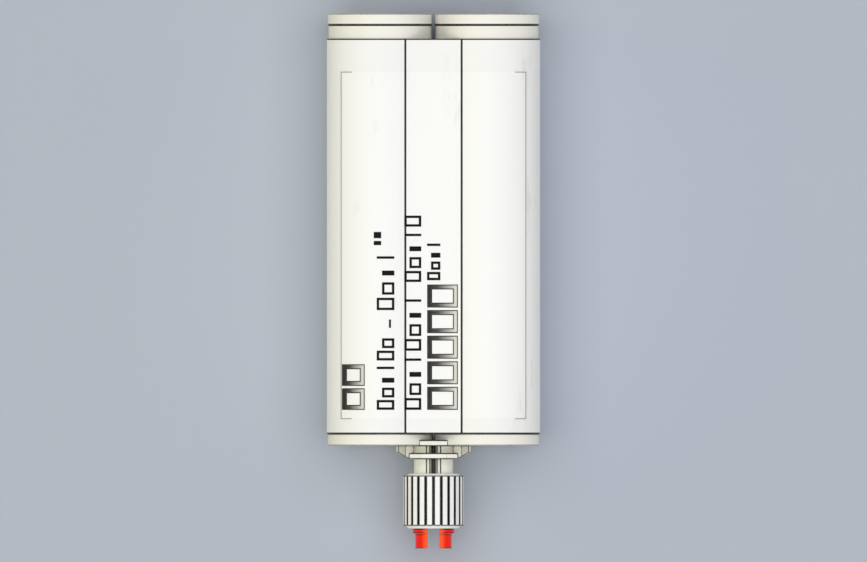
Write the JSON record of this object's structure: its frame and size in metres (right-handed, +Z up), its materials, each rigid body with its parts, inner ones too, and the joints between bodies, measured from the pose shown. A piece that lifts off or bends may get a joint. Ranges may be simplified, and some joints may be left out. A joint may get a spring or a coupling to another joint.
{
  "type": "two-part adhesive cartridge",
  "caption": "Side-by-side two-part adhesive cartridge with a printed sleeve, rear pistons, a ribbed retaining nut on the outlet neck and a red double plug that closes both outlets.",
  "frame": {"origin": "on the floor under the middle of the cartridge, which lies on its printed sleeve", "axes": "+Y along the barrels from the outlet towards the open rear, +X from the resin barrel to the hardener barrel, +Z up, out of the labelled side"},
  "size_m": [0.0918, 0.23, 0.046],
  "materials": {
    "body_plastic": "satin",
    "sleeve_film": "matte",
    "label_film": "satin",
    "ink": "matte",
    "ink_tint": "matte",
    "nut_plastic": "satin",
    "plug_plastic": "satin",
    "piston_plastic": "satin",
    "seal_rubber": "satin",
    "pin_plastic": "satin",
    "resin_paste": "satin",
    "hardener_paste": "satin"
  },
  "bodies": {
    "cartridge": {"cartridge_body": "body_plastic", "wrap_sleeve": "sleeve_film", "front_label": "label_film", "label_print": "ink", "label_fill": "ink_tint", "resin_fill": "resin_paste", "hardener_fill": "hardener_paste"},
    "resin_piston_body": {"resin_piston": "piston_plastic", "resin_piston_ring": "seal_rubber", "resin_vent_pin": "pin_plastic"},
    "hardener_piston_body": {"hardener_piston": "piston_plastic", "hardener_piston_ring": "seal_rubber", "hardener_vent_pin": "pin_plastic"},
    "closure": {"double_plug": "plug_plastic"},
    "nut": {"retaining_nut": "nut_plastic"}
  },
  "joints": [
    {"name": "resin_push", "type": "slide", "parent": "cartridge", "child": "resin_piston_body", "axis": [0, -1, 0], "range_m": [0, 0.1565], "deforming": ["resin_fill"]},
    {"name": "hardener_push", "type": "slide", "parent": "cartridge", "child": "hardener_piston_body", "axis": [0, -1, 0], "range_m": [0, 0.1565], "deforming": ["hardener_fill"]},
    {"name": "closure_slide", "type": "slide", "parent": "cartridge", "child": "closure", "axis": [0, -1, 0], "range_m": [0, 0.021]},
    {"name": "nut_turn", "type": "hinge", "parent": "closure", "child": "nut", "pos_m": [0, -0.0947, 0.0229], "axis": [0, -1, 0], "range_deg": [0, 1262]}
  ],
  "couplings": [
    {"joint": "nut_turn", "follows": "closure_slide", "rad_per_m": 1047.2}
  ]
}
